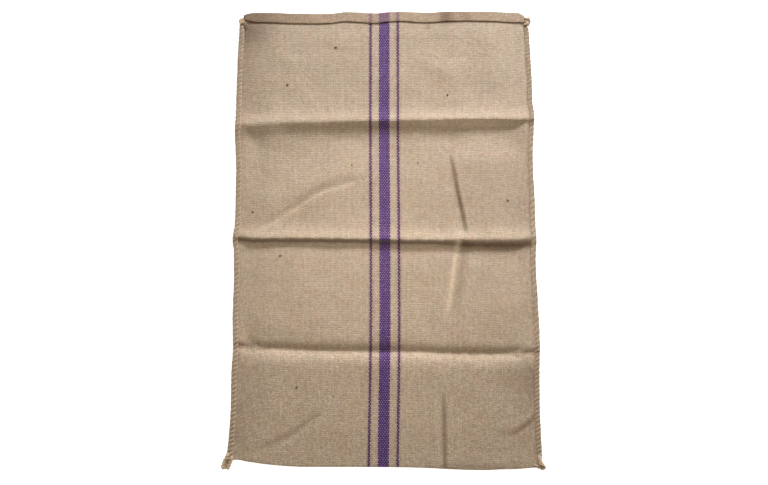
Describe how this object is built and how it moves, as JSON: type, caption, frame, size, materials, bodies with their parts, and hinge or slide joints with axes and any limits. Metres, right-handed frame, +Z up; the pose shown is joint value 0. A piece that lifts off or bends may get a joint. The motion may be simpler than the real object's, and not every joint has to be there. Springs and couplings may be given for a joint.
{
  "type": "burlap bag",
  "caption": "Empty jute sack laid flat, mouth open and hemmed outward, overcast side seams with knotted corners, three crosswise creases.",
  "frame": {"origin": "on the surface the sack lies on, at the middle of the space it takes up", "axes": "+Y along the sack towards its mouth, +X across it, +Z up from the back ply to the front ply"},
  "size_m": [0.7385, 1.0977, 0.0288],
  "materials": {
    "jute_cloth": "coarse 2/1 twill jute cloth, natural tan with three woven purple stripes, matt",
    "jute_twine": "thick hairy jute sewing twine, matt"
  },
  "bodies": {
    "root": {"sack_cloth": "jute_cloth", "seam_twine_left": "jute_twine", "seam_twine_right": "jute_twine", "twine_knot_top_left": "jute_twine", "twine_knot_top_right": "jute_twine", "twine_knot_bottom_left": "jute_twine", "twine_knot_bottom_right": "jute_twine"}
  },
  "joints": []
}
